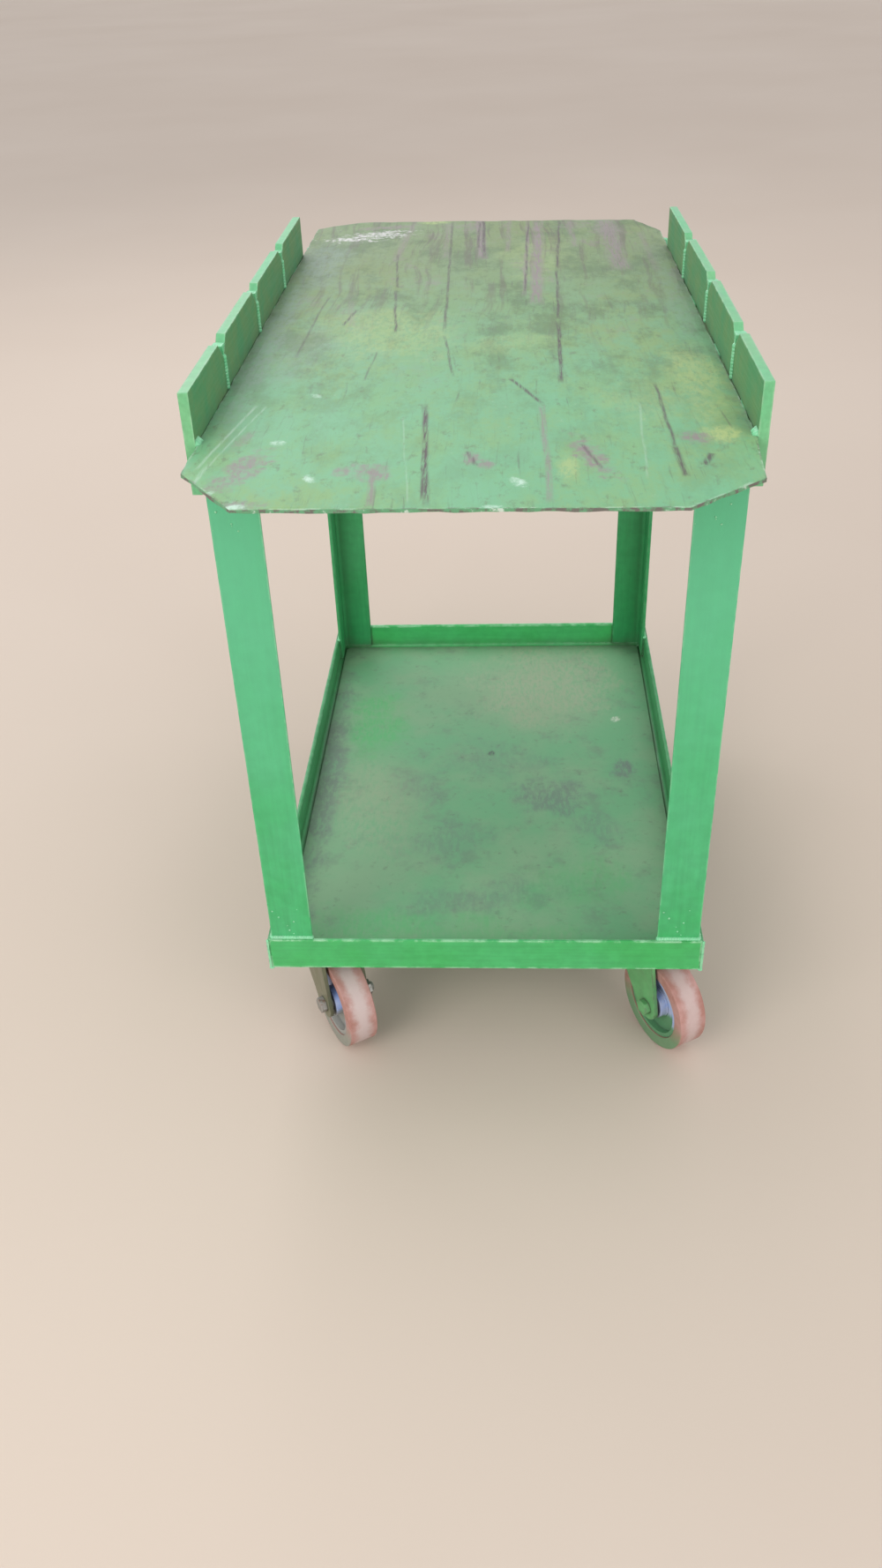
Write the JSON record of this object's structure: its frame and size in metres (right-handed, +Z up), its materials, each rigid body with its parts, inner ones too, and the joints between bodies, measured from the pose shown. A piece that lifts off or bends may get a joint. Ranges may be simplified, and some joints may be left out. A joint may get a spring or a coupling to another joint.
{
  "type": "utility cart",
  "caption": "Welded steel utility cart: flat deck between two side bars, angle-iron legs and lower shelf tray, swivel casters in front and fixed casters behind.",
  "frame": {"origin": "on the floor, under the middle of the cart", "axes": "+Z up, the cart's length along Y with its front towards -Y, +X to its right as seen from the front"},
  "size_m": [0.5447, 1.117, 0.8775],
  "materials": {
    "deck_paint": "worn",
    "shelf_paint": "worn",
    "bar_paint": "worn",
    "frame_paint": "satin",
    "fork_paint": "satin",
    "zinc": "satin",
    "hub": "satin",
    "tread": "matte"
  },
  "bodies": {
    "frame": {"top_plate": "deck_paint", "shelf_plate": "shelf_paint", "left_bar_1": "bar_paint", "left_bar_2": "bar_paint", "left_bar_3": "bar_paint", "left_bar_4": "bar_paint", "front_left_leg": "frame_paint", "rear_left_leg": "frame_paint", "tray_left_rail": "frame_paint", "right_bar_1": "bar_paint", "right_bar_2": "bar_paint", "right_bar_3": "bar_paint", "right_bar_4": "bar_paint", "front_right_leg": "frame_paint", "rear_right_leg": "frame_paint", "tray_right_rail": "frame_paint", "tray_front_rail": "frame_paint", "tray_rear_rail": "frame_paint", "top_front_rail": "frame_paint", "top_rear_rail": "frame_paint", "front_left_mount_plate": "frame_paint", "front_left_caster_bolts": "zinc", "front_left_caster_plate": "zinc", "front_left_swivel_race": "zinc", "front_left_kingpin": "zinc", "front_right_mount_plate": "frame_paint", "front_right_caster_bolts": "zinc", "front_right_caster_plate": "zinc", "front_right_swivel_race": "zinc", "front_right_kingpin": "zinc", "rear_left_mount_plate": "frame_paint", "rear_left_caster_bolts": "zinc", "rear_left_fork": "fork_paint", "rear_left_axle_sleeve": "zinc", "rear_left_axle_bolt": "zinc", "rear_left_axle_nut": "zinc", "rear_right_mount_plate": "frame_paint", "rear_right_caster_bolts": "zinc", "rear_right_fork": "fork_paint", "rear_right_axle_sleeve": "zinc", "rear_right_axle_bolt": "zinc", "rear_right_axle_nut": "zinc"},
    "front_left_swivel": {"front_left_fork": "fork_paint", "front_left_axle_sleeve": "zinc", "front_left_axle_bolt": "zinc", "front_left_axle_nut": "zinc"},
    "front_left_wheel": {"front_left_wheel_hub": "hub", "front_left_tyre": "tread"},
    "front_right_swivel": {"front_right_fork": "fork_paint", "front_right_axle_sleeve": "zinc", "front_right_axle_bolt": "zinc", "front_right_axle_nut": "zinc"},
    "front_right_wheel": {"front_right_wheel_hub": "hub", "front_right_tyre": "tread"},
    "rear_left_wheel": {"rear_left_wheel_hub": "hub", "rear_left_tyre": "tread"},
    "rear_right_wheel": {"rear_right_wheel_hub": "hub", "rear_right_tyre": "tread"}
  },
  "joints": [
    {"name": "front_left_swivel", "type": "hinge", "parent": "frame", "child": "front_left_swivel", "pos_m": [-0.208, -0.3055, 0.15], "axis": [0, 0, 1], "continuous": true},
    {"name": "front_left_wheel_spin", "type": "hinge", "parent": "front_left_swivel", "child": "front_left_wheel", "pos_m": [-0.1855, -0.34447, 0.0625], "axis": [0.866, 0.5, 0], "continuous": true},
    {"name": "front_right_swivel", "type": "hinge", "parent": "frame", "child": "front_right_swivel", "pos_m": [0.208, -0.3055, 0.15], "axis": [0, 0, 1], "continuous": true},
    {"name": "front_right_wheel_spin", "type": "hinge", "parent": "front_right_swivel", "child": "front_right_wheel", "pos_m": [0.2305, -0.34447, 0.0625], "axis": [0.866, 0.5, 0], "continuous": true},
    {"name": "rear_left_wheel_spin", "type": "hinge", "parent": "frame", "child": "rear_left_wheel", "pos_m": [-0.208, 0.3205, 0.0625], "axis": [1, 0, 0], "continuous": true},
    {"name": "rear_right_wheel_spin", "type": "hinge", "parent": "frame", "child": "rear_right_wheel", "pos_m": [0.208, 0.3205, 0.0625], "axis": [1, 0, 0], "continuous": true}
  ]
}
